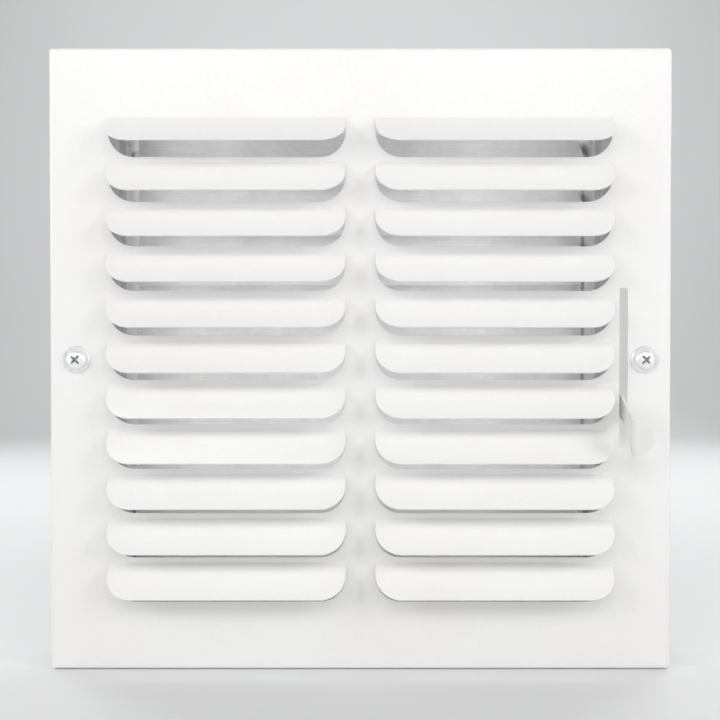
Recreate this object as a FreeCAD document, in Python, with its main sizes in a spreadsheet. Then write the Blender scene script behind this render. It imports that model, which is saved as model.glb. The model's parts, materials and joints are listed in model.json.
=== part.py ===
import FreeCAD, Part
import math
import os
import re

import Sketcher

# A stamped steel wall register with a multi-blade damper behind it.
# X runs to the right, Y into the wall and Z up. The origin is the middle of the duct opening,
# in the wall plane that the rim of the face rests on.

DIMENSIONS = {
    # face plate
    "face_size": (247.65, "width and height of the face"),
    "face_depth": (8.0, "wall plane to the front of the face"),
    "face_sheet": (0.7, "thickness of the face's sheet"),
    "face_bend": (1.5, "outside radius of the rim's bends"),
    "face_bend_inside": (0.8, "inside radius of the rim's bends"),
    # louvres, lanced out of the face and hinged along their top edges
    "louvre_rows": (11, "louvres in each column"),
    "louvre_pitch": (17.72, "one louvre to the next"),
    "louvre_top": (96.5, "height of the top louvre's bend"),
    "louvre_opening": (16.0, "height of each opening"),
    "louvre_inner": (5.9, "half of the mullion between the columns"),
    "louvre_outer": (100.3, "middle to the outer end of each louvre"),
    "louvre_corner": (10.2, "radius of the lower corners"),
    "louvre_bend": (1.0, "inside radius of the louvre's bend"),
    "louvre_leaf": (15.1, "length of the flat part of a louvre"),
    "louvre_angle": (37.0, "louvre to the face, rows two to eleven"),
    "louvre_angle_top": (45.0, "louvre to the face, top row"),
    # lever slot and mounting screws
    "slot_left": (103.1, "left edge of the lever slot"),
    "slot_right": (106.4, "right edge of the lever slot"),
    "slot_bottom": (-35.2, "lower end of the lever slot"),
    "slot_top": (28.7, "upper end of the lever slot"),
    "slot_corner": (0.8, "corner radius of the lever slot"),
    "screw_x": (113.1, "middle to each mounting screw"),
    "screw_hole": (2.4, "radius of the screw holes"),
    "screw_shank": (2.1, "radius of the screw's shank, over its thread"),
    "screw_neck": (1.7, "radius of the screw between its head and the wall plane"),
    "screw_head": (5.35, "radius of the screw's head"),
    "screw_head_flat": (4.5, "radius where the head's crown starts"),
    "screw_head_tall": (2.5, "height of the screw's head"),
    "screw_head_wall": (1.2, "height of the head's straight side"),
    "screw_crown": (1.2, "radius of the head's crown"),
    "screw_brim": (0.4, "radius below the crown"),
    "screw_length": (19.0, "under the head to the tip"),
    "screw_point": (4.0, "length of the screw's point"),
    "recess_half": (2.35, "middle of the cross recess to its tip"),
    "recess_wing": (0.5, "half the width of a recess wing"),
    "recess_deep": (1.7, "depth of the cross recess"),
    "recess_turn": (45.0, "cross recess to the level"),
    # neck collar, spot-welded to the back of the face
    "neck_sheet": (0.6, "thickness of the neck's sheet"),
    "neck_inner_x": (95.3, "half the collar's inside width"),
    "neck_inner_z": (96.4, "half the collar's inside height"),
    "neck_flange": (102.0, "half the width of the collar's flange"),
    "neck_corner": (3.0, "outer corner radius of the collar"),
    "neck_bend": (1.0, "inside radius of the bend from flange to wall"),
    # damper frame
    "rail_sheet": (0.6, "thickness of the rails"),
    "rail_inner_x": (96.0, "middle to the side rails"),
    "rail_inner_z": (97.0, "middle to the top and bottom rails"),
    "rail_front": (-6.4, "front edge of the rails"),
    "rail_rear": (30.0, "rear edge of the rails"),
    "rail_lip": (3.8, "width of the rear lip"),
    "rail_bend": (1.2, "outside radius of the rear lip's bend"),
    "tab_front": (2.0, "front edge of the corner tabs"),
    "tab_rear": (12.0, "rear edge of the corner tabs"),
    "tab_drop": (11.0, "length of the corner tabs"),
    "rivet_shank": (1.4, "radius of the frame rivets"),
    "rivet_head": (2.2, "radius of the rivets' heads"),
    "rivet_head_tall": (0.6, "height of the rivets' heads"),
    "corner_rivet_y": (7.0, "corner rivets behind the wall plane"),
    "corner_rivet_z": (91.0, "height of the corner rivets"),
    "collar_rivet_y": (-3.0, "collar rivets, in front of the wall plane"),
    "collar_rivet_span": (120.0, "first to last collar rivet"),
    # damper blades
    "blade_pitch": (21.2, "one blade's pivot to the next"),
    "pivot_y": (16.0, "pivots behind the wall plane"),
    "rest_tilt": (12.0, "blades to the upright, as the part is stored"),
    "blade_half": (11.5, "half the height of a blade"),
    "blade_sheet": (0.5, "thickness of a blade"),
    "blade_hem": (3.0, "width of the folded hems"),
    "ear_inner": (93.2, "middle to the inside of a blade's right ear"),
    "ear_outer_left": (95.1, "middle to the outside of a blade's left ear"),
    "ear_sheet": (0.6, "thickness of the ears"),
    "ear_half": (3.6, "half the width of an ear"),
    "ear_corner": (3.5, "corner radius of an ear"),
    "crank_radius": (9.0, "pivot to the tie bar's hole"),
    "crank_angle": (48.0, "crank above the rearward line, on an upright blade"),
    # pivot pins
    "pin_radius": (1.5, "radius of the pivot pins"),
    "pin_hole": (1.58, "radius of the pivot holes in the side rails"),
    "pin_shoulder": (2.2, "radius of the pins' shoulders"),
    "pin_head": (2.6, "radius of the pins' heads"),
    "pin_head_tall": (0.6, "height of the pins' heads"),
    "pin_head_round": (0.25, "radius around the pins' heads"),
    "side_gap": (0.3, "end play beside a rail or an ear"),
    "half_turn": (180.0, "right pin to left pin"),
    # tie bar
    "bar_inner": (94.4, "middle to the inside of the tie bar"),
    "bar_sheet": (0.8, "thickness of the tie bar"),
    "bar_half": (2.0, "half the width of the tie bar"),
    "bar_end": (3.5, "last rivet to the end of the tie bar"),
    "bar_corner": (1.9, "corner radius of the tie bar's ends"),
    "link_radius": (1.3, "radius of the tie bar's rivets"),
    "link_hole": (1.38, "radius of the tie bar's holes in the ears"),
    "link_shoulder": (1.8, "radius of the spacer between bar and ear"),
    "link_head": (2.1, "radius of the tie bar rivets' heads"),
    "link_head_tall": (0.5, "height of the tie bar rivets' heads"),
    # lever
    "lever_sheet": (1.0, "thickness of the lever"),
    "lever_hub_x": (97.2, "middle to the lever's hub"),
    "lever_arm_x": (104.15, "middle to the lever's arm, in the slot"),
    "lever_hub": (5.5, "half the width of the lever's hub"),
    "hub_flat": (0.1, "half the flat between the hub's rounded corners"),
    "lever_tilt": (11.7, "thumb tab's bend to the upright"),
    "joggle_start": (-5.6, "where the lever's joggle starts, from the pivot"),
    "joggle_end": (-12.2, "where the lever's joggle ends, from the pivot"),
    "joggle_step": (0.43, "offset of the joggle's outer corners"),
    "joggle_bend": (2.0, "radius of the joggle's bends"),
    "tab_bend": (1.6, "outside radius of the thumb tab's bend"),
    "tab_bend_inside": (0.6, "inside radius of the thumb tab's bend"),
    "tab_spare": (2.0, "blank beyond the thumb tab, trimmed off"),
    "tab_relief": (0.15, "arm's face to the start of the thumb tab's outline"),
    "tab_plane": (-43.6, "front of the thumb tab, from the pivot"),
    "tab_right": (112.1, "middle to the thumb tab's edge"),
    "hub_notch": (-4.84, "where the arm's upper edge meets the hub"),
    "hub_notch_round": (3.0, "radius of that inner corner"),
    "hub_heel": (-2.5, "where the arm's lower edge meets the hub"),
    "hub_heel_round": (4.0, "radius of that corner"),
    "root_top_y": (-41.5, "arm's upper edge, past the thumb tab"),
    "root_top_z": (-25.2, "the same point's height"),
    "root_foot_y": (-38.4, "arm's lower edge, past the thumb tab"),
    "root_foot_z": (-39.6, "the same point's height"),
    "flare_y": (-33.9, "where the arm flares into the tab"),
    "flare_z": (-32.8, "the same point's height"),
    "flare_round": (6.0, "radius at that point"),
    "belly_y": (-26.6, "arm's lower edge, just outside the face"),
    "belly_z": (-25.4, "the same point's height"),
    "belly_round": (10.0, "radius at that point"),
    "heel_y": (-17.9, "arm's lower edge, just behind the face"),
    "heel_z": (-21.5, "the same point's height"),
    "heel_round": (8.0, "radius at that point"),
    "thumb_top": (-23.4, "thumb tab's upper end at its bend"),
    "thumb_upper": (-27.2, "thumb tab's upper corner"),
    "thumb_upper_round": (3.2, "radius of that corner"),
    "thumb_lower": (-33.8, "thumb tab's lower corner"),
    "thumb_lower_round": (3.5, "radius of that corner"),
    "thumb_foot": (-38.3, "thumb tab's lower end at its bend"),
    "trim_reach": (80.0, "size of a trimming cut, past every edge"),
    "square_half": (1.05, "half of the square drive on the lever's shaft"),
    "shaft_head": (2.8, "radius of the lever shaft's riveted head"),
    "shaft_head_tall": (0.8, "height of the lever shaft's riveted head"),
    "shaft_head_round": (0.35, "radius around the riveted head"),
}

BLADES = 9
LEVER_BLADE = 5
ORIGIN_POINT = (-1, 1)
H_AXIS = -1
V_AXIS = -2
START = 1
END = 2
CENTRE = 3
NEAR = 0.1

Vector = FreeCAD.Vector
X_DIRECTION = Vector(1, 0, 0)
Z_DIRECTION = Vector(0, 0, 1)
CLOSING_TURN = Vector(-1, 0, 0)
doc = FreeCAD.newDocument("air_register")


# ---------------------------------------------------------------- sheet of sizes

def add_sizes():
    """The spreadsheet that every feature's size is bound to."""
    sheet = doc.addObject("Spreadsheet::Sheet", "dims")
    for row, (alias, (size, meaning)) in enumerate(DIMENSIONS.items(), start=1):
        sheet.set(f"A{row}", meaning)
        sheet.set(f"B{row}", str(size))
        sheet.setAlias(f"B{row}", alias)
    doc.recompute()
    return sheet


sizes = add_sizes()


def value(expression):
    """The number that an expression over the sheet's aliases gives."""
    return float(sizes.evalExpression(expression))


def tie(item, setting, expression):
    """Binds a setting of an object to an expression; each alias gets the sheet's name before it."""
    item.setExpression(setting, re.sub(r"[a-z]+_[a-z_]+", r"dims.\g<0>", expression))


# ---------------------------------------------------------------- sketches

def origin_feature(body, role):
    return next(f for f in body.Origin.OriginFeatures if f.Role == role)


def new_body(label):
    body = doc.addObject("PartDesign::Body", label)
    body.Label = label
    return body


def new_sketch(body, plane, name, at=("0", "0", "0"), turn=None):
    """A sketch on one of the body's origin planes, moved by expressions and turned (axis, angle)."""
    sketch = body.newObject("Sketcher::SketchObject", name)
    sketch.AttachmentSupport = [(origin_feature(body, plane), "")]
    sketch.MapMode = "FlatFace"
    if turn:
        axis, angle = turn
        rotation = FreeCAD.Rotation(axis, value(angle))
        sketch.AttachmentOffset = FreeCAD.Placement(Vector(), rotation)
    for letter, expression in zip("xyz", at):
        tie(sketch, f".AttachmentOffset.Base.{letter}", expression)
    return sketch


def bind(sketch, constraint, expression):
    """Adds a dimension to a sketch and ties it to an expression."""
    index = sketch.addConstraint(constraint)
    name = f"size_{index}"
    sketch.renameConstraint(index, name)
    tie(sketch, f"Constraints.{name}", expression)


def fix_point(sketch, geometry, end, x, y):
    """Holds one point of a sketch at the place that two expressions give."""
    for kind, axis, expression in (("DistanceX", V_AXIS, x), ("DistanceY", H_AXIS, y)):
        if expression == "0":
            sketch.addConstraint(Sketcher.Constraint("PointOnObject", geometry, end, axis))
        else:
            size = Sketcher.Constraint(kind, *ORIGIN_POINT, geometry, end, value(expression))
            bind(sketch, size, expression)


def rounded_corner(before, corner, after, radius):
    """Where an arc of this radius meets the two sides, and the arc itself, counter-clockwise."""
    to_before = (before - corner).normalize()
    to_after = (after - corner).normalize()
    half = to_before.getAngle(to_after) / 2
    arrive = corner + to_before * (radius / math.tan(half))
    leave = corner + to_after * (radius / math.tan(half))
    centre = corner + (to_before + to_after).normalize() * (radius / math.sin(half))
    left_turn = (corner - before).cross(after - corner).z > 0
    first, last = (arrive, leave) if left_turn else (leave, arrive)
    first_angle = math.atan2(first.y - centre.y, first.x - centre.x)
    last_angle = math.atan2(last.y - centre.y, last.x - centre.x)
    if last_angle < first_angle:
        last_angle += 2 * math.pi
    circle = Part.Circle(centre, Z_DIRECTION, radius)
    return arrive, leave, left_turn, Part.ArcOfCircle(circle, first_angle, last_angle)


def outline(sketch, corners):
    """A closed outline through corners (x, y) or (x, y, radius), each an expression."""
    points = [Vector(value(corner[0]), value(corner[1]), 0) for corner in corners]
    count = len(points)
    arrivals = list(points)
    departures = list(points)
    arcs = {}
    for i, corner in enumerate(corners):
        if len(corner) == 3:
            near = points[i - 1], points[i], points[(i + 1) % count]
            arrivals[i], departures[i], left_turn, arc = rounded_corner(*near, value(corner[2]))
            arcs[i] = (sketch.addGeometry(arc), left_turn)
    lines = [
        sketch.addGeometry(Part.LineSegment(departures[i], arrivals[(i + 1) % count]))
        for i in range(count)
    ]
    for i, corner in enumerate(corners):
        line_in, line_out = lines[i - 1], lines[i]
        if i not in arcs:
            sketch.addConstraint(Sketcher.Constraint("Coincident", line_in, END, line_out, START))
            fix_point(sketch, line_out, START, corner[0], corner[1])
            continue
        arc, left_turn = arcs[i]
        arc_in, arc_out = (START, END) if left_turn else (END, START)
        sketch.addConstraint(Sketcher.Constraint("Tangent", line_in, END, arc, arc_in))
        sketch.addConstraint(Sketcher.Constraint("Tangent", arc, arc_out, line_out, START))
        bind(sketch, Sketcher.Constraint("Radius", arc, value(corner[2])), corner[2])
        tip = sketch.addGeometry(Part.Point(points[i]), True)
        sketch.addConstraint(Sketcher.Constraint("PointOnObject", tip, START, line_in))
        sketch.addConstraint(Sketcher.Constraint("PointOnObject", tip, START, line_out))
        fix_point(sketch, tip, START, corner[0], corner[1])


def rectangle(sketch, left, right, bottom, top, radius=None):
    ends = ((left, bottom), (right, bottom), (right, top), (left, top))
    outline(sketch, [end + (radius,) if radius else end for end in ends])


def circle(sketch, x, y, radius):
    centre = Vector(value(x), value(y), 0)
    index = sketch.addGeometry(Part.Circle(centre, Z_DIRECTION, value(radius)))
    fix_point(sketch, index, CENTRE, x, y)
    bind(sketch, Sketcher.Constraint("Radius", index, value(radius)), radius)


# ---------------------------------------------------------------- features

def volume(body):
    doc.recompute()
    return body.Shape.Volume


def pad(body, sketch, length, reverse=False, both=False):
    feature = body.newObject("PartDesign::Pad", sketch.Name.replace("sketch", "pad"))
    feature.Profile = sketch
    feature.Reversed = reverse
    feature.SideType = "Symmetric" if both else "One side"
    tie(feature, "Length", length)
    return feature


def pocket(body, sketch, length=None, reverse=False, both=False):
    """A pocket of a length, or through everything; it must take something away."""
    before = volume(body)
    feature = body.newObject("PartDesign::Pocket", sketch.Name.replace("sketch", "pocket"))
    feature.Profile = sketch
    feature.Reversed = reverse
    feature.SideType = "Symmetric" if both else "One side"
    if length:
        tie(feature, "Length", length)
    else:
        feature.Type = "ThroughAll"
    if volume(body) >= before:
        raise RuntimeError(f"{feature.Name} cuts nothing")
    return feature


def revolve(body, sketch, axis, angle=None, reverse=False):
    feature = body.newObject("PartDesign::Revolution", sketch.Name.replace("sketch", "turn"))
    feature.Profile = sketch
    feature.ReferenceAxis = (sketch, [axis])
    feature.Reversed = reverse
    if angle:
        tie(feature, "Angle", angle)
    return feature


def repeat(body, originals, row=None, mirrors=()):
    """Copies features along a row (axis, length, count, reverse), then across origin planes."""
    copies = body.newObject("PartDesign::MultiTransform", "copies")
    copies.Originals = originals
    steps = []
    if row:
        axis, length, count, reverse = row
        line = body.newObject("PartDesign::LinearPattern", "row")
        line.Direction = (origin_feature(body, axis), [""])
        line.Mode = "Extent"
        tie(line, "Length", length)
        line.Occurrences = count
        line.Reversed = reverse
        steps.append(line)
    for plane in mirrors:
        mirror = body.newObject("PartDesign::Mirrored", "mirror")
        mirror.MirrorPlane = (origin_feature(body, plane), [""])
        steps.append(mirror)
    copies.Transformations = steps
    body.Tip = copies
    return copies


def fillet(body, radius, chosen):
    """Rounds the edges of the body's last feature that a test of their middle point accepts."""
    doc.recompute()
    base = body.Tip
    names = [
        f"Edge{i}"
        for i, edge in enumerate(base.Shape.Edges, start=1)
        if chosen(edge.BoundBox.Center)
    ]
    feature = body.newObject("PartDesign::Fillet", "round")
    feature.Base = (base, names)
    tie(feature, "Radius", radius)
    return feature


def place(body, x="0", y="0", z="0", turn=None):
    """Puts a body where the expressions say, turned (axis, angle) about its own origin."""
    if turn:
        axis, angle = turn
        body.Placement = FreeCAD.Placement(Vector(), FreeCAD.Rotation(axis, value(angle)))
        tie(body, "Placement.Rotation.Angle", angle)
    for letter, expression in zip("xyz", (x, y, z)):
        tie(body, f"Placement.Base.{letter}", expression)


# ---------------------------------------------------------------- face plate

def pan(body):
    """The square sheet with its rim bent back to the wall."""
    half = "face_size / 2"
    block = new_sketch(body, "XZ_Plane", "face_sketch")
    rectangle(block, f"-{half}", half, f"-{half}", half)
    pad(body, block, "face_depth")
    fillet(body, "face_bend", lambda middle: middle.y < -NEAR)
    inside = "(face_size / 2 - face_sheet)"
    hollow = new_sketch(body, "XZ_Plane", "hollow_sketch")
    rectangle(hollow, f"-{inside}", inside, f"-{inside}", inside)
    pocket(body, hollow, "face_depth - face_sheet", reverse=True)
    limit = value(inside) + NEAR
    fillet(
        body,
        "face_bend_inside",
        lambda middle: middle.y < -NEAR and max(abs(middle.x), abs(middle.z)) < limit,
    )


def louvre(body, hinge, angle):
    """One louvre: its opening, the bend along its top edge and its flat leaf."""
    left, right, sheet, bend = "louvre_inner", "louvre_outer", "face_sheet", "louvre_bend"
    sill = "-louvre_opening"
    opening = new_sketch(
        body, "XZ_Plane", "opening_sketch", ("0", hinge, "face_depth - face_sheet")
    )
    corner = "louvre_corner"
    outline(opening, [(left, sill, corner), (right, sill, corner), (right, "0"), (left, "0")])
    cut = pocket(body, opening, "2 * face_sheet", reverse=True)

    arc = new_sketch(
        body, "XY_Plane", "bend_sketch",
        ("0", "-(face_depth + louvre_bend)", hinge),
    )
    rectangle(arc, left, right, bend, f"{bend} + {sheet}")
    bent = revolve(body, arc, "H_Axis", angle, reverse=True)

    reach = "(louvre_bend + face_sheet)"
    leaf = new_sketch(
        body, "XZ_Plane", "leaf_sketch",
        (
            "0",
            f"{hinge} - {reach} * sin({angle})",
            f"face_depth + louvre_bend - {reach} * cos({angle})",
        ),
        (X_DIRECTION, f"-{angle}"),
    )
    tip = "-louvre_leaf"
    outline(leaf, [(left, tip, corner), (right, tip, corner), (right, "0"), (left, "0")])
    flat = pad(body, leaf, "face_sheet")
    return [cut, bent, flat]


def face_plate():
    body = new_body("face_plate")
    pan(body)
    top = louvre(body, "louvre_top", "louvre_angle_top")
    repeat(body, top, mirrors=("YZ_Plane",))
    second = louvre(body, "louvre_top - louvre_pitch", "louvre_angle")
    rows = int(value("louvre_rows")) - 1
    length = "louvre_pitch * (louvre_rows - 2)"
    repeat(body, second, ("Z_Axis", length, rows, True), ("YZ_Plane",))
    slot = new_sketch(body, "XZ_Plane", "slot_sketch")
    rectangle(slot, "slot_left", "slot_right", "slot_bottom", "slot_top", "slot_corner")
    pocket(body, slot, "2 * face_depth", reverse=True)
    holes = new_sketch(body, "XZ_Plane", "hole_sketch")
    for x in ("screw_x", "-screw_x"):
        circle(holes, x, "0", "screw_hole")
    pocket(body, holes, "2 * face_depth", reverse=True)
    return body


# ---------------------------------------------------------------- neck and frame

def ring(body, name, at_y, outer_x, outer_z, depth):
    """A square ring around the collar's opening, from at_y rearward over a depth."""
    sketch = new_sketch(body, "XZ_Plane", name, ("0", "0", f"-({at_y})"))
    rectangle(sketch, f"-({outer_x})", outer_x, f"-({outer_z})", outer_z, "neck_corner")
    inner = "neck_corner - neck_sheet"
    rectangle(sketch, "-neck_inner_x", "neck_inner_x", "-neck_inner_z", "neck_inner_z", inner)
    return pad(body, sketch, depth, reverse=True)


def neck_collar():
    """A flange on the back of the face, bent into a short wall inside the damper frame."""
    body = new_body("neck_collar")
    front = "face_sheet - face_depth"
    ring(body, "flange_sketch", front, "neck_flange", "neck_flange", "neck_sheet")
    wall_x, wall_z = "neck_inner_x + neck_sheet", "neck_inner_z + neck_sheet"
    ring(body, "wall_sketch", front, wall_x, wall_z, "face_depth - face_sheet")
    front_y = value(front)
    limit = value(wall_z)
    fillet(
        body,
        "neck_bend",
        lambda middle: middle.y < front_y + NEAR and max(abs(middle.x), abs(middle.z)) < limit,
    )
    collar_rivet_holes(body)
    return body


def collar_rivet_holes(body):
    """Three rivet holes in the top wall and three in the bottom one."""
    sketch = new_sketch(body, "XY_Plane", "rivet_hole_sketch")
    for x in ("-collar_rivet_span / 2", "0", "collar_rivet_span / 2"):
        circle(sketch, x, "collar_rivet_y", "rivet_shank")
    pocket(body, sketch, both=True)


def side_rail(label, side):
    """A side rail with its rear lip and the blades' pivot holes; side is 1 on the right."""
    body = new_body(label)
    sign = "" if side > 0 else "-"
    inside = f"{sign}rail_inner_x"
    outside = f"{sign}(rail_inner_x + rail_sheet)"
    lip = f"{sign}(rail_inner_x + rail_sheet + rail_lip)"
    step = "rail_rear - rail_sheet"
    section = new_sketch(body, "XY_Plane", "rail_sketch")
    outline(section, [
        (inside, "rail_front"),
        (outside, "rail_front"),
        (outside, step, "rail_bend - rail_sheet"),
        (lip, step),
        (lip, "rail_rear"),
        (inside, "rail_rear", "rail_bend"),
    ])
    pad(body, section, "2 * rail_inner_z", both=True)
    pivots = new_sketch(body, "YZ_Plane", "pivot_sketch")
    for z in blade_heights():
        circle(pivots, "pivot_y", z, "pin_hole")
    for z in ("corner_rivet_z", "-corner_rivet_z"):
        circle(pivots, "corner_rivet_y", z, "rivet_shank")
    pocket(body, pivots, both=True)
    return body


def cross_rail(label, side):
    """The top or bottom rail with its rear lip and a tab down each side; side is 1 at the top."""
    body = new_body(label)
    sign = "" if side > 0 else "-"
    inside = f"{sign}rail_inner_z"
    outside = f"{sign}(rail_inner_z + rail_sheet)"
    lip = f"{sign}(rail_inner_z + rail_sheet + rail_lip)"
    step = "rail_rear - rail_sheet"
    section = new_sketch(body, "YZ_Plane", "rail_sketch")
    outline(section, [
        ("rail_front", inside),
        ("rail_front", outside),
        (step, outside, "rail_bend - rail_sheet"),
        (step, lip),
        ("rail_rear", lip),
        ("rail_rear", inside, "rail_bend"),
    ])
    pad(body, section, "2 * (rail_inner_x + rail_sheet)", both=True)
    tabs = new_sketch(body, "XZ_Plane", "tab_sketch", ("0", "0", "-tab_front"))
    near, far = "(rail_inner_x + rail_sheet)", "(rail_inner_x + 2 * rail_sheet)"
    end = f"{sign}(rail_inner_z - tab_drop)"
    for left, right in ((near, far), (f"-{near}", f"-{far}")):
        outline(tabs, [(left, end), (right, end), (right, outside), (left, outside)])
    pad(body, tabs, "tab_rear - tab_front", reverse=True)
    rivets = new_sketch(body, "YZ_Plane", "rivet_sketch")
    circle(rivets, "corner_rivet_y", f"{sign}corner_rivet_z", "rivet_shank")
    pocket(body, rivets, both=True)
    collar_rivet_holes(body)
    return body


def rivet_profile(sketch, start, length, along_x):
    """Half of a two-headed rivet, from start along its axis; length is what it grips."""
    tall = "rivet_head_tall"
    steps = [
        (f"{start} - {tall}", "0"),
        (f"{start} - {tall}", "rivet_head"),
        (start, "rivet_head"),
        (start, "rivet_shank"),
        (f"{start} + {length}", "rivet_shank"),
        (f"{start} + {length}", "rivet_head"),
        (f"{start} + {length} + {tall}", "rivet_head"),
        (f"{start} + {length} + {tall}", "0"),
    ]
    outline(sketch, steps if along_x else [(radius, along) for along, radius in steps])


def frame_rivets():
    """Four corner rivets through rails and tabs, and three each through collar and cross rails."""
    body = new_body("frame_rivets")
    grip = "2 * rail_sheet"
    corner = new_sketch(
        body, "XY_Plane", "corner_sketch", ("0", "corner_rivet_y", "corner_rivet_z")
    )
    rivet_profile(corner, "rail_inner_x", grip, True)
    repeat(body, [revolve(body, corner, "H_Axis")], mirrors=("YZ_Plane", "XY_Plane"))
    collar = new_sketch(
        body, "XZ_Plane", "collar_sketch", ("-collar_rivet_span / 2", "0", "-collar_rivet_y")
    )
    rivet_profile(collar, "neck_inner_z", grip, False)
    row = ("X_Axis", "collar_rivet_span", 3, False)
    repeat(body, [revolve(body, collar, "V_Axis")], row, ("XY_Plane",))
    return body


def mounting_screws():
    """Two pan-head screws with cross recesses, their shanks standing out behind the wall plane."""
    body = new_body("mounting_screws")
    seat = "-face_depth"
    crown = f"{seat} - screw_head_tall"
    shoulder = f"{seat} - screw_head_wall"
    tip = f"{seat} + screw_length"
    profile = new_sketch(body, "XY_Plane", "screw_sketch", ("screw_x", "0", "0"))
    outline(profile, [
        ("0", crown),
        ("screw_head_flat", crown, "screw_crown"),
        ("screw_head", shoulder, "screw_brim"),
        ("screw_head", seat),
        ("screw_neck", seat),
        ("screw_neck", "0"),
        ("screw_shank", "0"),
        ("screw_shank", f"{tip} - screw_point"),
        ("0", tip),
    ])
    screw = revolve(body, profile, "V_Axis")
    recess = new_sketch(
        body, "XZ_Plane", "recess_sketch",
        ("screw_x", "0", "face_depth + screw_head_tall"),
        (Z_DIRECTION, "recess_turn"),
    )
    arm, wing = "recess_half", "recess_wing"
    outline(recess, [
        (arm, f"-{wing}"), (arm, wing), (wing, wing), (wing, arm),
        (f"-{wing}", arm), (f"-{wing}", wing), (f"-{arm}", wing), (f"-{arm}", f"-{wing}"),
        (f"-{wing}", f"-{wing}"), (f"-{wing}", f"-{arm}"), (wing, f"-{arm}"), (wing, f"-{wing}"),
    ])
    cut = pocket(body, recess, "recess_deep")
    repeat(body, [screw, cut], mirrors=("YZ_Plane",))
    return body


# ---------------------------------------------------------------- damper

def blade_height(number):
    """Height of a blade's pivot as an expression; blade 1 is at the top."""
    return f"{LEVER_BLADE - number} * blade_pitch"


def blade_heights():
    return [blade_height(number) for number in range(1, BLADES + 1)]


def place_on_pivot(body, number, tilted=True):
    """Puts a body that was drawn around its own pivot on a blade's pivot, tilted as stored."""
    height = f"{LEVER_BLADE - number} * blade_pitch"
    turn = (CLOSING_TURN, "rest_tilt") if tilted else None
    place(body, "0", "pivot_y", height, turn)


def ear(body, name, near, reach, hole):
    """One end ear, drawn along the crank; near is its left face, reach its way past the pivot."""
    sketch = new_sketch(body, "YZ_Plane", name, ("0", "0", near), (Z_DIRECTION, "crank_angle"))
    rectangle(sketch, "-ear_half", f"{reach} + ear_half", "-ear_half", "ear_half", "ear_corner")
    circle(sketch, "0", "0", "pin_radius")
    if hole:
        circle(sketch, "crank_radius", "0", "link_hole")
    return pad(body, sketch, "ear_sheet")


def damper_blade(number):
    """A hemmed blade with a plain ear on its left end and a cranked ear on its right end."""
    body = new_body(f"damper_blade_{number}")
    skin, fold = "blade_sheet / 2", "3 * blade_sheet / 2"
    edge, hem = "blade_half", "(blade_half - blade_hem)"
    left_end = "-(ear_outer_left - ear_sheet)"
    section = new_sketch(body, "YZ_Plane", "blade_sketch", ("0", "0", left_end))
    outline(section, [
        (f"-{fold}", f"-{edge}"),
        (skin, f"-{edge}"),
        (skin, hem),
        (fold, hem),
        (fold, edge),
        (f"-{skin}", edge),
        (f"-{skin}", f"-{hem}"),
        (f"-{fold}", f"-{hem}"),
    ])
    pad(body, section, "ear_inner + ear_outer_left - ear_sheet")
    ear(body, "crank_sketch", "ear_inner", "crank_radius", True)
    ear(body, "ear_sketch", "-ear_outer_left", "0", False)
    place_on_pivot(body, number)
    return body


def pin_profile(sketch, ear_face):
    """Half of a pivot pin along X: shank in the ear, shoulder, running length and head."""
    rail_face = "rail_inner_x - side_gap"
    head = "rail_inner_x + rail_sheet + side_gap"
    outline(sketch, [
        (f"{ear_face} - ear_sheet", "0"),
        (f"{ear_face} - ear_sheet", "pin_radius"),
        (ear_face, "pin_radius"),
        (ear_face, "pin_shoulder"),
        (rail_face, "pin_shoulder"),
        (rail_face, "pin_radius"),
        (head, "pin_radius"),
        (head, "pin_head"),
        (f"{head} + pin_head_tall", "pin_head", "pin_head_round"),
        (f"{head} + pin_head_tall", "0"),
    ])


def left_pin(body):
    """A left pin: a right one's profile, turned over to the other side."""
    profile = new_sketch(body, "XY_Plane", "left_sketch", turn=(Z_DIRECTION, "half_turn"))
    pin_profile(profile, "ear_outer_left")
    revolve(body, profile, "H_Axis")


def pivot_pins(number):
    """The two pins that a blade turns on."""
    body = new_body(f"pivot_pins_{number}")
    left_pin(body)
    profile = new_sketch(body, "XY_Plane", "right_sketch")
    pin_profile(profile, "(ear_inner + ear_sheet)")
    revolve(body, profile, "H_Axis")
    place_on_pivot(body, number)
    return body


def lever_blade_pin():
    """The left pin of the blade that the lever drives; its right one is the lever's shaft."""
    body = new_body(f"pivot_pin_{LEVER_BLADE}")
    left_pin(body)
    place_on_pivot(body, LEVER_BLADE)
    return body


def lever_shaft():
    """The right pin of the lever's blade: through the rail, squared for the lever and riveted."""
    body = new_body("lever_shaft")
    ear_face = "ear_inner + ear_sheet"
    hub = "lever_hub_x"
    back = "rail_inner_x + rail_sheet + side_gap"
    profile = new_sketch(body, "XY_Plane", "shaft_sketch")
    outline(profile, [
        ("ear_inner", "0"),
        ("ear_inner", "pin_radius"),
        (ear_face, "pin_radius"),
        (ear_face, "pin_shoulder"),
        ("rail_inner_x - side_gap", "pin_shoulder"),
        ("rail_inner_x - side_gap", "pin_radius"),
        (back, "pin_radius"),
        (back, "pin_head"),
        (hub, "pin_head"),
        (hub, "0"),
    ])
    revolve(body, profile, "H_Axis")
    square = new_sketch(body, "YZ_Plane", "square_sketch", ("0", "0", "lever_hub_x"))
    rectangle(square, "-square_half", "square_half", "-square_half", "square_half")
    pad(body, square, "lever_sheet")
    head = new_sketch(body, "YZ_Plane", "head_sketch", ("0", "0", "lever_hub_x + lever_sheet"))
    circle(head, "0", "0", "shaft_head")
    pad(body, head, "shaft_head_tall")
    outer_face = value("lever_hub_x + lever_sheet + shaft_head_tall") - NEAR
    fillet(body, "shaft_head_round", lambda middle: middle.x > outer_face)
    place_on_pivot(body, LEVER_BLADE, tilted=False)
    return body


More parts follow.
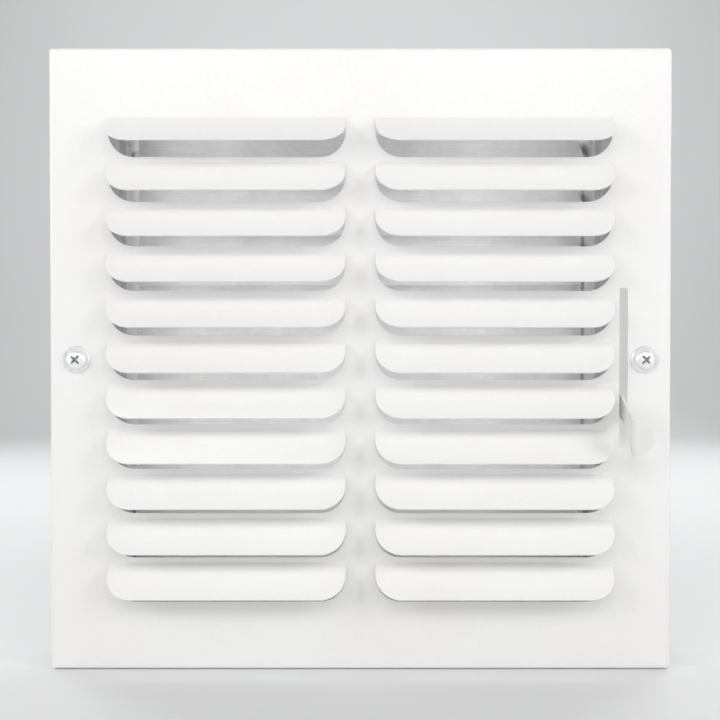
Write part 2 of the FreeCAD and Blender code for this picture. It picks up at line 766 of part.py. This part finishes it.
def lever_arm():
    """A joggled plate lever through the slot, its end bent outward into a thumb tab."""
    body = new_body("lever_arm")
    hub, arm, sheet = "lever_hub_x", "lever_arm_x", "lever_sheet"
    front, behind, bend = "tab_plane", f"tab_plane + {sheet}", "joggle_bend"
    plan = new_sketch(
        body, "XY_Plane", "plan_sketch", turn=(X_DIRECTION, "lever_tilt")
    )
    outline(plan, [
        (hub, "2 * lever_hub"),
        (hub, "joggle_start", bend),
        (arm, "joggle_end", bend),
        (arm, front, "tab_bend"),
        ("tab_right + tab_spare", front),
        ("tab_right + tab_spare", behind),
        (f"{arm} + {sheet}", behind, "tab_bend_inside"),
        (f"{arm} + {sheet}", "joggle_end + joggle_step", bend),
        (f"{hub} + {sheet}", "joggle_start + joggle_step", bend),
        (f"{hub} + {sheet}", "2 * lever_hub"),
    ])
    pad(body, plan, "trim_reach", both=True)

    side = new_sketch(body, "YZ_Plane", "side_sketch")
    rectangle(side, "-trim_reach", "trim_reach", "-trim_reach", "trim_reach")
    hub_round = "lever_hub - hub_flat"
    outline(side, [
        ("lever_hub", "lever_hub", hub_round),
        ("-lever_hub", "lever_hub", hub_round),
        ("-lever_hub", "hub_notch", "hub_notch_round"),
        ("root_top_y", "root_top_z"),
        ("root_foot_y", "root_foot_z"),
        ("flare_y", "flare_z", "flare_round"),
        ("belly_y", "belly_z", "belly_round"),
        ("heel_y", "heel_z", "heel_round"),
        ("lever_hub", "hub_heel", "hub_heel_round"),
    ])
    pocket(body, side, both=True)

    tab = new_sketch(body, "XZ_Plane", "thumb_sketch")
    root = f"{arm} + {sheet} + tab_relief"
    outline(tab, [
        (root, "0"),
        (root, "thumb_top"),
        ("tab_right", "thumb_upper", "thumb_upper_round"),
        ("tab_right", "thumb_lower", "thumb_lower_round"),
        (root, "thumb_foot"),
        (root, "-trim_reach"),
        ("2 * trim_reach", "-trim_reach"),
        ("2 * trim_reach", "0"),
    ])
    pocket(body, tab, both=True)

    square = new_sketch(body, "YZ_Plane", "drive_sketch")
    rectangle(square, "-square_half", "square_half", "-square_half", "square_half")
    pocket(body, square, both=True)
    place_on_pivot(body, LEVER_BLADE, tilted=False)
    return body


def place_on_crank(body):
    """Puts a body that was drawn around the middle blade's crank pin in its place."""
    turned = "(crank_angle - rest_tilt)"
    place(
        body, "0",
        f"pivot_y + crank_radius * cos({turned})",
        f"crank_radius * sin({turned})",
    )


def tie_bar():
    """The upright bar that joins the nine cranks."""
    body = new_body("tie_bar")
    end = f"{LEVER_BLADE - 1} * blade_pitch + bar_end"
    strip = new_sketch(body, "YZ_Plane", "bar_sketch", ("0", "0", "bar_inner"))
    rectangle(strip, "-bar_half", "bar_half", f"-({end})", end, "bar_corner")
    for z in blade_heights():
        circle(strip, "0", z, "link_radius")
    pad(body, strip, "bar_sheet")
    place_on_crank(body)
    return body


def tie_bar_rivets():
    """Nine rivets pressed into the tie bar, each turning in one crank's hole."""
    body = new_body("tie_bar_rivets")
    bottom = new_sketch(body, "XY_Plane", "link_sketch", ("0", "0", f"{1 - LEVER_BLADE} * blade_pitch"))
    head = "ear_inner - side_gap"
    outer = "bar_inner + bar_sheet"
    outline(bottom, [
        (f"{head} - link_head_tall", "0"),
        (f"{head} - link_head_tall", "link_head"),
        (head, "link_head"),
        (head, "link_radius"),
        ("ear_inner + ear_sheet + side_gap", "link_radius"),
        ("ear_inner + ear_sheet + side_gap", "link_shoulder"),
        ("bar_inner", "link_shoulder"),
        ("bar_inner", "link_radius"),
        (outer, "link_radius"),
        (outer, "link_head"),
        (f"{outer} + link_head_tall", "link_head"),
        (f"{outer} + link_head_tall", "0"),
    ])
    row = ("Z_Axis", f"{BLADES - 1} * blade_pitch", BLADES, False)
    repeat(body, [revolve(body, bottom, "H_Axis")], row)
    place_on_crank(body)
    return body


# ---------------------------------------------------------------- build and write

def build():
    parts = [
        face_plate(),
        neck_collar(),
        side_rail("side_rail_left", -1),
        side_rail("side_rail_right", 1),
        cross_rail("top_rail", 1),
        cross_rail("bottom_rail", -1),
        frame_rivets(),
        mounting_screws(),
    ]
    for number in range(1, BLADES + 1):
        parts.append(damper_blade(number))
        parts.append(lever_blade_pin() if number == LEVER_BLADE else pivot_pins(number))
    parts += [lever_shaft(), lever_arm(), tie_bar(), tie_bar_rivets()]
    doc.recompute()
    return parts


def check(parts):
    """Stops if any feature failed or any part's shape is missing or broken."""
    for item in doc.Objects:
        if "Invalid" in item.State or "Error" in item.State:
            raise RuntimeError(f"{item.Name} failed: {item.State}")
    for part in parts:
        if part.Shape.isNull() or not part.Shape.isValid() or not part.Shape.Solids:
            raise RuntimeError(f"{part.Label} has no valid shape")


def write(parts):
    os.makedirs("parts", exist_ok=True)
    for part in parts:
        part.Shape.exportStep(f"parts/{part.Label}.step")


if __name__ == "__main__":
    finished = build()
    check(finished)
    write(finished)
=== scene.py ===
"""Looks of a stamped steel wall register: materials, rounded edges, screws, light and camera."""
import json
import math

import bmesh
import bpy
from mathutils import Matrix, Vector


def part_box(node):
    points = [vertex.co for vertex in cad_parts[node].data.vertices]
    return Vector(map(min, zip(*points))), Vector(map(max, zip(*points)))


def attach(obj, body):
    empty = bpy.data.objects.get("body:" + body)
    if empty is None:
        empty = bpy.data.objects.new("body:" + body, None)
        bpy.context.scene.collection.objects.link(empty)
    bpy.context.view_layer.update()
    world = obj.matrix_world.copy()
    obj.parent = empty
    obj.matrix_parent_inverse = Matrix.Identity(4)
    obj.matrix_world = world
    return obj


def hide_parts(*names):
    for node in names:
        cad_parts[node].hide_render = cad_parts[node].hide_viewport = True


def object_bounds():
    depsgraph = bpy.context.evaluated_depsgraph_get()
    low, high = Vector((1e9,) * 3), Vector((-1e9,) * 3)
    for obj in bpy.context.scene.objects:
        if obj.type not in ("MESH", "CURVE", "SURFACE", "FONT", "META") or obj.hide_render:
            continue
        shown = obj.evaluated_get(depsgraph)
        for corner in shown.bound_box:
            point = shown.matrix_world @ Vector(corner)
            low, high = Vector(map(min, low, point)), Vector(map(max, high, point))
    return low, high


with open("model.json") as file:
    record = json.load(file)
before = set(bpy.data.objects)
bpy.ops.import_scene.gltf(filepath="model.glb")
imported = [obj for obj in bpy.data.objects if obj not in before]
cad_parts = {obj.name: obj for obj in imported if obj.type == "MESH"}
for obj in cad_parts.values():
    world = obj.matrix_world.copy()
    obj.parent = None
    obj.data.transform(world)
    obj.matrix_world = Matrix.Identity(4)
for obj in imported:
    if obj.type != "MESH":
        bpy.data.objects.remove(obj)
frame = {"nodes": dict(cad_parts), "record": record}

cad_low, cad_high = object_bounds()
nodes = frame["nodes"]
scene = bpy.context.scene

MM = 0.001
FACE_FRONT = -8.0 * MM          # the flat front of the face, along Y


# ---------------------------------------------------------------- materials

class Shader:
    """A material's node tree, with short calls for the nodes that the looks use."""

    def __init__(self, name):
        self.material = bpy.data.materials.new(name)
        self.material.use_nodes = True
        self.tree = self.material.node_tree
        self.principled = next(n for n in self.tree.nodes if n.type == "BSDF_PRINCIPLED")
        self.place = self.add("ShaderNodeTexCoord").outputs["Object"]

    def add(self, kind, **settings):
        """A new node with its settings."""
        node = self.tree.nodes.new(kind)
        for setting, chosen in settings.items():
            setattr(node, setting, chosen)
        return node

    def link(self, output, target):
        """Joins a node's output to another node's input."""
        self.tree.links.new(output, target)

    def feed(self, socket, output):
        """Joins a node's output to one of the surface's inputs."""
        self.link(output, self.principled.inputs[socket])

    def set(self, **sockets):
        """Plain numbers for the surface's inputs, with _ for the spaces in their names."""
        for socket, number in sockets.items():
            self.principled.inputs[socket.replace("_", " ")].default_value = number

    def stretched(self, x, y, z, shift=0.0):
        """Object coordinates, multiplied along each axis."""
        mapping = self.add("ShaderNodeMapping")
        mapping.inputs["Scale"].default_value = (x, y, z)
        mapping.inputs["Location"].default_value = (shift, shift, shift)
        self.link(self.place, mapping.inputs["Vector"])
        return mapping.outputs["Vector"]

    def noise(self, vector, scale, detail=2.0, roughness=0.5):
        """Soft noise from 0 to 1."""
        node = self.add("ShaderNodeTexNoise")
        node.inputs["Scale"].default_value = scale
        node.inputs["Detail"].default_value = detail
        node.inputs["Roughness"].default_value = roughness
        self.link(vector, node.inputs["Vector"])
        return node.outputs["Fac"]

    def spangle(self, vector, scale):
        """One grey per crystal."""
        node = self.add("ShaderNodeTexVoronoi")
        node.inputs["Scale"].default_value = scale
        self.link(vector, node.inputs["Vector"])
        grey = self.add("ShaderNodeRGBToBW")
        self.link(node.outputs["Color"], grey.inputs["Color"])
        return grey.outputs["Val"]

    def spread(self, value, low, high, from_low=0.3, from_high=0.7):
        """A value mapped to a range."""
        node = self.add("ShaderNodeMapRange")
        ends = (("From Min", from_low), ("From Max", from_high), ("To Min", low), ("To Max", high))
        for label, number in ends:
            node.inputs[label].default_value = number
        self.link(value, node.inputs["Value"])
        return node.outputs["Result"]

    def tint(self, value, low, high, from_low=0.3, from_high=0.7):
        """A value mapped to a colour between two colours."""
        node = self.add("ShaderNodeValToRGB")
        first, last = node.color_ramp.elements
        first.position, last.position = from_low, from_high
        first.color = (*low, 1.0)
        last.color = (*high, 1.0)
        self.link(value, node.inputs["Fac"])
        return node.outputs["Color"]

    def mix(self, first, second, share, blend):
        """Two colours put together by a blend mode."""
        node = self.add("ShaderNodeMix", data_type="RGBA", blend_type=blend)
        node.inputs["Factor"].default_value = share
        colours = [socket for socket in node.inputs if socket.type == "RGBA"]
        self.link(first, colours[0])
        self.link(second, colours[1])
        return next(socket for socket in node.outputs if socket.type == "RGBA")

    def total(self, first, second, weight):
        """first plus weight times second."""
        node = self.add("ShaderNodeMath", operation="MULTIPLY_ADD")
        self.link(second, node.inputs[0])
        node.inputs[1].default_value = weight
        self.link(first, node.inputs[2])
        return node.outputs["Value"]

    def bump(self, height, strength, distance):
        """Relief on the surface; distance is the metres that a height of 1 stands for."""
        node = self.add("ShaderNodeBump")
        node.inputs["Strength"].default_value = strength
        node.inputs["Distance"].default_value = distance
        self.link(height, node.inputs["Height"])
        self.feed("Normal", node.outputs["Normal"])


def white_enamel(name, tone):
    """Semi-gloss white powder coat: faint orange peel, slow tone drift and a fine grain."""
    look = Shader(name)
    drift = look.noise(look.place, scale=11.0, detail=3.0)
    grain = look.noise(look.place, scale=900.0, detail=3.0, roughness=0.6)
    low, high = (0.885, 0.872, 0.862), (0.905, 0.905, 0.895)
    base = look.tint(drift, [tone * c for c in low], [tone * c for c in high])
    fleck = look.tint(grain, (0.955, 0.955, 0.955), (1.0, 1.0, 1.0))
    look.feed("Base Color", look.mix(base, fleck, share=0.5, blend="MULTIPLY"))
    look.feed("Roughness", look.spread(drift, low=0.27, high=0.38))
    peel = look.noise(look.place, scale=560.0)
    waves = look.noise(look.place, scale=110.0)
    look.bump(look.total(peel, waves, weight=1.6), strength=0.14, distance=0.6 * MM)
    look.set(Specular_IOR_Level=0.5)
    return look.material


def galvanised(name, tone):
    """Rolled galvanised sheet: spangle, fine lines along the rolling direction, paler bands."""
    look = Shader(name)
    crystals = look.spangle(look.stretched(1.0, 1.0, 1.5), scale=420.0)
    bands = look.noise(look.stretched(1.0, 0.25, 0.12), scale=34.0)
    patches = look.noise(look.stretched(0.6, 1.0, 1.0, shift=3.0), scale=70.0, detail=3.0)
    lines = look.noise(look.stretched(0.012, 1.0, 1.0), scale=2400.0, detail=3.0, roughness=0.6)
    low, high = (0.79, 0.79, 0.80), (0.95, 0.95, 0.95)
    dim, clear = (0.88, 0.88, 0.89), (1.0, 1.0, 1.0)
    base = look.tint(
        bands, [tone * c for c in low], [tone * c for c in high], from_low=0.32, from_high=0.68
    )
    grains = look.tint(crystals, dim, clear, from_low=0.1, from_high=0.9)
    streaks = look.tint(lines, dim, clear, from_low=0.35, from_high=0.65)
    toned = look.mix(base, grains, share=0.5, blend="MULTIPLY")
    look.feed("Base Color", look.mix(toned, streaks, share=0.65, blend="MULTIPLY"))
    look.feed("Roughness", look.spread(patches, low=0.30, high=0.46))
    look.bump(look.total(lines, crystals, weight=0.35), strength=0.16, distance=0.2 * MM)
    look.set(Metallic=0.5)
    return look.material


def rivet_steel():
    """Dull zinc-plated steel with a fine crystalline mottle."""
    look = Shader("rivet_steel")
    tone = look.noise(look.place, scale=380.0, detail=4.0, roughness=0.6)
    look.feed("Base Color", look.tint(tone, (0.50, 0.51, 0.53), (0.74, 0.74, 0.75)))
    look.feed("Roughness", look.spread(tone, low=0.24, high=0.44))
    look.bump(look.noise(look.place, scale=2400.0), strength=0.18, distance=0.2 * MM)
    look.set(Metallic=0.95)
    return look.material


def zinc_screw():
    """Bright zinc plate: clean metal with soft mottling, and painted shade from ambient occlusion
    darkening the cross recess.
    """
    look = Shader("zinc_screw")
    mottle = look.noise(look.place, scale=520.0, detail=4.0, roughness=0.6)
    plate = look.tint(mottle, (0.89, 0.895, 0.91), (0.97, 0.97, 0.97))
    # Painted shade: ambient occlusion darkens the base colour in the cross recess and other tight
    # hollows of the screw.
    shade = look.add("ShaderNodeAmbientOcclusion", samples=8, only_local=True)
    shade.inputs["Distance"].default_value = 1.0 * MM
    dim, clear = (0.34, 0.37, 0.44), (1.0, 1.0, 1.0)
    painted_recess_shade = look.tint(shade.outputs["AO"], dim, clear, from_low=0.30, from_high=0.62)
    look.feed("Base Color", look.mix(plate, painted_recess_shade, share=1.0, blend="MULTIPLY"))
    look.feed("Roughness", look.spread(mottle, low=0.34, high=0.46))
    scuffs = look.noise(look.stretched(1.0, 1.0, 0.12), scale=3000.0)
    look.bump(scuffs, strength=0.10, distance=0.2 * MM)
    look.set(Metallic=0.65)
    return look.material


LOOKS = {
    "white_enamel": white_enamel("white_enamel", 1.0),
    "galvanised": galvanised("galvanised", 1.0),
    "rivet_steel": rivet_steel(),
    "zinc_screw": zinc_screw(),
}

# nodes a little darker than the rest of their slot: painted shade, darker copies of one material that
# stand in for the shadow at the slot ends (collar, side rails) and on the lever's tab
RAIL_PAINTED_SHADE = galvanised("rail_painted_shade", 0.80)
OWN_LOOKS = {
    "lever_arm": white_enamel("lever_painted_shade", 0.90),
    "neck_collar": galvanised("collar_painted_shade", 0.55),
    "side_rail_left": RAIL_PAINTED_SHADE,
    "side_rail_right": RAIL_PAINTED_SHADE,
}


# ---------------------------------------------------------------- carried-over CAD nodes

FINE_EDGE = 0.08 * MM
EDGES = {"face_plate": 0.18 * MM, "lever_arm": 0.22 * MM}
EDGE_SEGMENTS = 2
SHARP = math.radians(40)        # corners sharper than this are rounded
FLAT = math.radians(0.6)        # facets that turn by less than this are one flat face
SAME_POINT = 0.002 * MM         # points closer than this are one point


def soften(piece, edge):
    """Small rounded edges on a piece's sharp corners."""
    soft = piece.modifiers.new("edges", "BEVEL")
    soft.width = edge
    soft.segments = EDGE_SEGMENTS
    soft.limit_method = "ANGLE"
    soft.angle_limit = SHARP
    soft.harden_normals = True


def dress(node, slot, edge):
    """Gives a CAD node its material and rounded edges."""
    piece = nodes[node]
    piece.data.materials.clear()
    piece.data.materials.append(OWN_LOOKS.get(node, LOOKS[slot]))
    weld = piece.modifiers.new("weld", "WELD")
    weld.merge_threshold = SAME_POINT
    flat = piece.modifiers.new("flat", "DECIMATE")
    flat.decimate_type = "DISSOLVE"
    flat.angle_limit = FLAT
    soften(piece, edge)


SLOTS = {s["node"]: s["material_slot"] for s in frame["record"]["subparts"]}
REPLACED = ("mounting_screws",)
for node, slot in SLOTS.items():
    if node not in REPLACED:
        dress(node, slot, EDGES.get(node, FINE_EDGE))


# ---------------------------------------------------------------- mounting screws

SCREW_EDGE = 0.05 * MM
SCREW_SHARP = math.radians(32)  # corners sharper than this are shaded as edges
CROSS_TURN = 2                  # degrees, one screw each way


def new_piece(name, mesh, slot):
    """An object with its slot's material."""
    piece = bpy.data.objects.new(name, mesh)
    scene.collection.objects.link(piece)
    mesh.materials.append(LOOKS[slot])
    return piece


def lathe(bm, profile, segments):
    """Turns (radius, along) points around the Y axis; a radius of 0 closes an end."""
    rings = []
    for radius, along in profile:
        if radius == 0:
            rings.append([bm.verts.new((0, along, 0))] * segments)
            continue
        angles = (2 * math.pi * i / segments for i in range(segments))
        rings.append([
            bm.verts.new((radius * math.cos(a), along, radius * math.sin(a))) for a in angles
        ])
    for lower, upper in zip(rings, rings[1:]):
        for i in range(segments):
            j = (i + 1) % segments
            corners = dict.fromkeys((lower[i], lower[j], upper[j], upper[i]))
            bm.faces.new(list(corners))


def frustum(bm, top, bottom, depth):
    """A tapered box from the plane y = 0 to a depth; top and bottom are half sizes (x, z)."""
    rings = [
        [bm.verts.new((sx * x, y, sz * z)) for sx, sz in ((-1, -1), (1, -1), (1, 1), (-1, 1))]
        for (x, z), y in ((top, 0.0), (bottom, depth))
    ]
    bm.faces.new(rings[0])
    bm.faces.new(list(reversed(rings[1])))
    for i in range(4):
        j = (i + 1) % 4
        bm.faces.new((rings[0][j], rings[0][i], rings[1][i], rings[1][j]))


def finished(bm, name):
    """A mesh from a bmesh, with its normals outward."""
    bmesh.ops.recalc_face_normals(bm, faces=bm.faces)
    mesh = bpy.data.meshes.new(name)
    bm.to_mesh(mesh)
    bm.free()
    return mesh


def carved(mesh, cutters):
    """A mesh with other meshes cut out of it."""
    body = bpy.data.objects.new("carved", mesh)
    scene.collection.objects.link(body)
    tools = []
    for cutter in cutters:
        tool = bpy.data.objects.new("cutter", cutter)
        scene.collection.objects.link(tool)
        tools.append(tool)
        cut = body.modifiers.new("cut", "BOOLEAN")
        cut.operation = "DIFFERENCE"
        cut.solver = "EXACT"
        cut.object = tool
    bpy.context.view_layer.update()
    graph = bpy.context.evaluated_depsgraph_get()
    result = bpy.data.meshes.new_from_object(body.evaluated_get(graph))
    for spent in (body, *tools):
        bpy.data.objects.remove(spent)
    return result


def cross_recess(crown):
    """The cutters for a cross recess: two crossing tapered slots and a cone in the middle."""
    proud = 0.02 * MM
    mouth, foot = (2.5 * MM, 0.36 * MM), (0.9 * MM, 0.22 * MM)      # half length, half width
    cone = ((0, -proud), (0.8 * MM, -proud), (0.5 * MM, 1.6 * MM), (0, 2.1 * MM))
    diagonal = Matrix.Rotation(math.radians(45), 4, "Y")
    cutters = []
    for turned in (False, True):
        bm = bmesh.new()
        ends = (mouth[::-1], foot[::-1]) if turned else (mouth, foot)
        frustum(bm, *ends, depth=1.9 * MM)
        bm.transform(Matrix.Translation((0, crown - proud, 0)) @ diagonal)
        cutters.append(finished(bm, "recess"))
    bm = bmesh.new()
    lathe(bm, cone, segments=24)
    bm.transform(Matrix.Translation((0, crown, 0)))
    cutters.append(finished(bm, "recess_middle"))
    return cutters


def screw_head(seat, crown, radius):
    """A domed pan head from its seat plane forward, with a tapered cross recess."""
    brim, dome_radius = seat - 0.75 * MM, radius * 0.71
    fullness, rounding, chamfer = 0.8, 0.30 * MM, 0.10 * MM
    profile = [
        (dome_radius * math.sin(a) ** fullness, crown + (brim - crown) * (1 - math.cos(a)))
        for a in (math.radians(d) for d in range(0, 91, 6))
    ]
    profile += [
        (radius - rounding, brim + 0.08 * MM),
        (radius, brim + 0.32 * MM),
        (radius, seat - chamfer),
        (radius - chamfer, seat),
        (0, seat),
    ]
    bm = bmesh.new()
    lathe(bm, profile, segments=72)
    return carved(finished(bm, "screw_head"), cross_recess(crown))


def screw_neck(start, end, radius):
    """The plain length between head and thread."""
    inside_head = start - 0.3 * MM
    bm = bmesh.new()
    lathe(bm, [(0, inside_head), (radius, inside_head), (radius, end), (0, end)], segments=40)
    return finished(bm, "screw_neck")


def screw_shank(start, tip, radius):
    """A threaded shank with a gimlet point: one helical ridge around a tapered core."""
    pitch, core, point = 1.8 * MM, 1.45 * MM, 4.5 * MM
    steps = 40                      # around one turn
    thinnest, ridge_taper = 0.02, 2.2
    ridge = ((0.0, 0.0), (0.62, 0.0), (0.78, 1.0), (0.84, 1.0), (1.0, 0.0))
    bm = bmesh.new()
    rows = []
    for i in range(int((tip - start) / pitch * steps) + 1):
        angle = 2 * math.pi * i / steps
        row = []
        for share, rise in ridge:
            along = min(max(start + pitch * (i / steps + share - 1), start), tip)
            slim = min(1.0, max(thinnest, (tip - along) / point))
            runout = min(1.0, max(0.0, (along - start) / pitch))
            r = core * slim + rise * (radius - core) * min(1.0, ridge_taper * slim) * runout
            row.append(bm.verts.new((r * math.cos(angle), along, r * math.sin(angle))))
        rows.append(row)
    for near, far in zip(rows, rows[1:]):
        for j in range(len(ridge) - 1):
            bm.faces.new((near[j], near[j + 1], far[j + 1], far[j]))
    bmesh.ops.remove_doubles(bm, verts=bm.verts, dist=0.004 * MM)
    bmesh.ops.dissolve_degenerate(bm, edges=bm.edges, dist=0.001 * MM)
    return finished(bm, "screw_shank")


def mounting_screws():
    """Two pan-head screws with threads, at the places that the record gives the studs."""
    low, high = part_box("mounting_screws")
    crown, tip = low[1], high[1]
    mounts = {m["name"]: m for m in frame["record"]["mounts"]}
    studs = mounts["screw_studs"]["dims"]
    middle_x = studs["pcd_mm"] / 2 * MM
    head = screw_head(seat=FACE_FRONT, crown=crown, radius=5.35 * MM)
    neck = screw_neck(start=FACE_FRONT, end=1.6 * MM, radius=1.68 * MM)
    shank = screw_shank(start=0.2 * MM, tip=tip, radius=studs["stud_r_mm"] * MM)
    pieces = []
    for side, x, degrees in (("left", -middle_x, -CROSS_TURN), ("right", middle_x, CROSS_TURN)):
        bm = bmesh.new()
        for part in (head, neck, shank):
            bm.from_mesh(part)
        turn = Matrix.Rotation(math.radians(degrees), 4, "Y")
        bm.transform(Matrix.Translation((x, 0, 0)) @ turn)
        mesh = bpy.data.meshes.new(f"screw_{side}")
        bm.to_mesh(mesh)
        bm.free()
        piece = new_piece(f"screw_{side}", mesh, "zinc_screw")
        mesh.shade_smooth()
        mesh.set_sharp_from_angle(angle=SCREW_SHARP)
        soften(piece, SCREW_EDGE)
        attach(piece, "frame")
        pieces.append(piece)
    for piece in pieces:
        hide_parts("mounting_screws")


mounting_screws()


# ---------------------------------------------------------------- floor, light and camera

def cyclorama():
    """A pale floor that curves up into a pale backdrop."""
    look = Shader("pale_ground")
    tone = look.noise(look.place, scale=3.0)
    look.feed("Base Color", look.tint(tone, (0.79, 0.795, 0.80), (0.805, 0.81, 0.815)))
    look.set(Roughness=0.85)
    gap, curve_steps = 0.3 * MM, 18
    floor_z = cad_low[2] - gap
    back_y, rise, reach, width, height = 0.9, 0.35, 2.5, 3.0, 2.2    # metres
    path = [(-reach, 0.0), (back_y, 0.0)]
    path += [
        (back_y + rise * math.sin(a), rise * (1 - math.cos(a)))
        for a in (math.radians(90 / curve_steps * i) for i in range(1, curve_steps))
    ]
    path += [(back_y + rise, rise), (back_y + rise, height)]
    mesh = bpy.data.meshes.new("cyclorama")
    corners = [(x, y, floor_z + z) for y, z in path for x in (-width, width)]
    faces = [(2 * i, 2 * i + 1, 2 * i + 3, 2 * i + 2) for i in range(len(path) - 1)]
    mesh.from_pydata(corners, [], faces)
    mesh.shade_smooth()
    mesh.materials.append(look.material)
    backdrop = bpy.data.objects.new("cyclorama", mesh)
    scene.collection.objects.link(backdrop)


# name: (place, target, (width, height), power), in metres and watts
LIGHTS = {
    "key": ((0.0, -0.50, 0.38), (0, 0, 0.03), (0.75, 0.24), 1.55),
    "left": ((-0.9, -0.5, 0.3), (0, 0, 0), (0.3, 0.7), 3.75),
    "right": ((0.9, -0.5, 0.3), (0, 0, 0), (0.3, 0.7), 3.75),
    "front": ((0.0, -0.62, 0.0), (0, 0, 0), (0.3, 0.3), 0.27),
    "inside": ((0.0, -0.003, 0.02), (0, 0.1, 0.02), (0.186, 0.150), 0.026),
    "wash": ((0.0, 0.3, 0.9), (0, 1.2, 0), (1.4, 0.3), 5.4),
    "behind": ((0.5, 0.6, 0.5), (0, 0, 0), (0.5, 0.5), 2.2),
    "behind_left": ((-0.6, 0.5, 0.35), (0, 0, 0), (0.3, 0.5), 1.4),
}


def area_light(name, place, target, size, power):
    """A soft rectangular light that the camera doesn't see."""
    light = bpy.data.lights.new(name, "AREA")
    light.shape = "RECTANGLE"
    light.size, light.size_y = size
    light.energy = power
    lamp = bpy.data.objects.new(name, light)
    lamp.location = place
    lamp.rotation_euler = (Vector(target) - Vector(place)).to_track_quat("-Z", "Y").to_euler()
    lamp.visible_camera = False
    scene.collection.objects.link(lamp)


def studio():
    """An even sky, softboxes around the object and one between its louvres and damper blades."""
    world = bpy.data.worlds.new("studio")
    scene.world = world
    world.use_nodes = True
    sky = world.node_tree.nodes["Background"]
    sky.inputs["Color"].default_value = (1.0, 1.0, 1.0, 1.0)
    sky.inputs["Strength"].default_value = 0.20
    for name, settings in LIGHTS.items():
        area_light(name, *settings)


def camera():
    """Square on to the face, a little above its middle and looking down by a fraction of a degree."""
    eye = bpy.data.objects.new("camera", bpy.data.cameras.new("camera"))
    eye.data.lens = 43.13
    eye.data.sensor_width = 36.0
    eye.data.clip_start = 0.01
    pitch = math.radians(0.64)
    distance = 0.3435
    aim = Vector((-0.2 * MM, FACE_FRONT, -0.1 * MM))
    eye.location = aim + distance * Vector((0, -math.cos(pitch), math.sin(pitch)))
    eye.rotation_euler = (math.pi / 2 - pitch, 0, 0)
    scene.collection.objects.link(eye)
    scene.camera = eye


cyclorama()
studio()
camera()
scene.view_settings.view_transform = "Standard"
